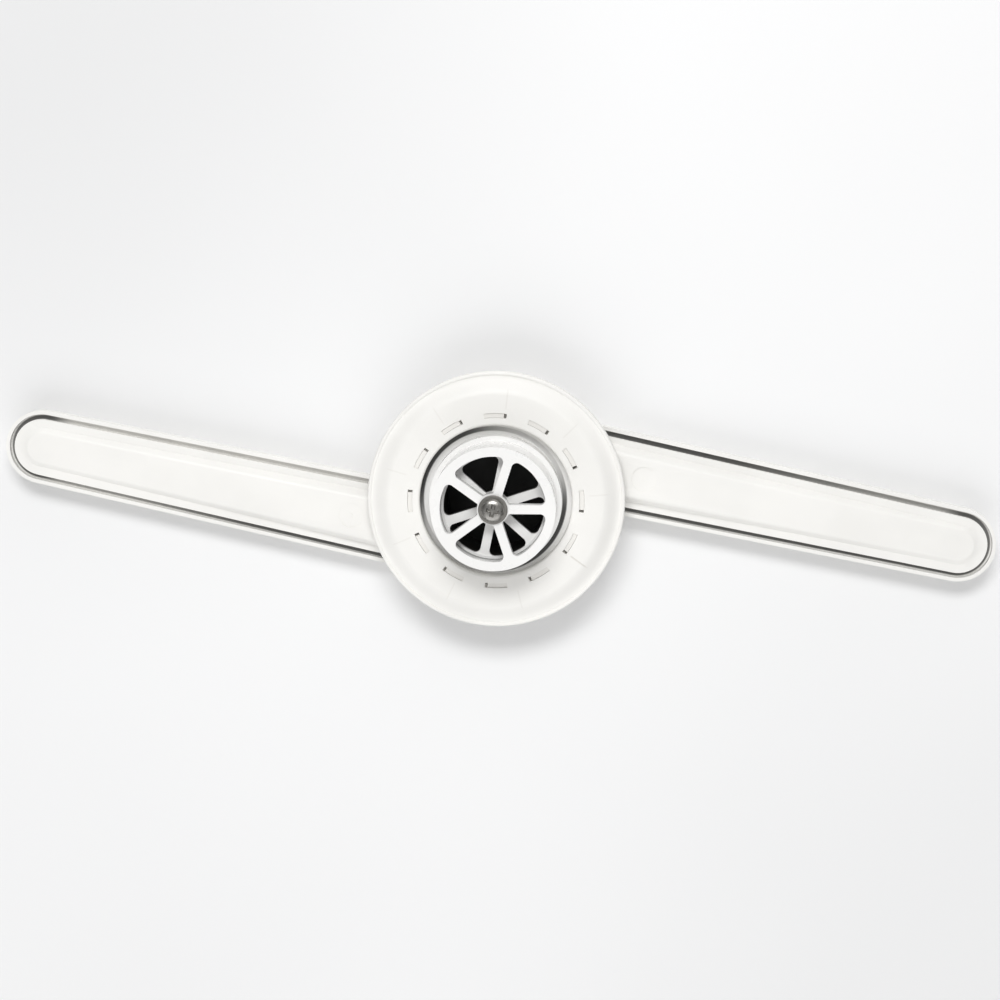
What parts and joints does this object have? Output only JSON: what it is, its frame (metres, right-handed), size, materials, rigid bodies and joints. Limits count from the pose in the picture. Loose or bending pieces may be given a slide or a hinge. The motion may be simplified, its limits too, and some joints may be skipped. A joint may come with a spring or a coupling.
{
  "type": "dishwasher spray arm",
  "caption": "Dishwasher spray arm: long flat hollow arm of welded half shells with a round splash collar, spinning freely on a spoked inlet bush.",
  "frame": {"origin": "on the spin axis, in the plane of the jet face that the part lies on", "axes": "+Z along the spin axis, out of the inlet's mouth; +X along the arms; +Y across them"},
  "size_m": [0.46, 0.1184, 0.0553],
  "materials": {
    "arm_plastic": "satin moulded warm white",
    "collar_plastic": "satin moulded warm white",
    "bush_plastic": "smooth moulded bright white",
    "steel": "bright stainless"
  },
  "bodies": {
    "bush": {"inlet_bush": "bush_plastic"},
    "arm": {"jet_shell": "arm_plastic", "inlet_shell": "arm_plastic", "hub_collar": "collar_plastic", "journal_spider": "bush_plastic", "retaining_washer": "steel", "retaining_screw": "steel"}
  },
  "joints": [
    {"name": "spin", "type": "hinge", "parent": "bush", "child": "arm", "pos_m": [0, 0, 0.04], "axis": [0, 0, 1], "continuous": true}
  ]
}
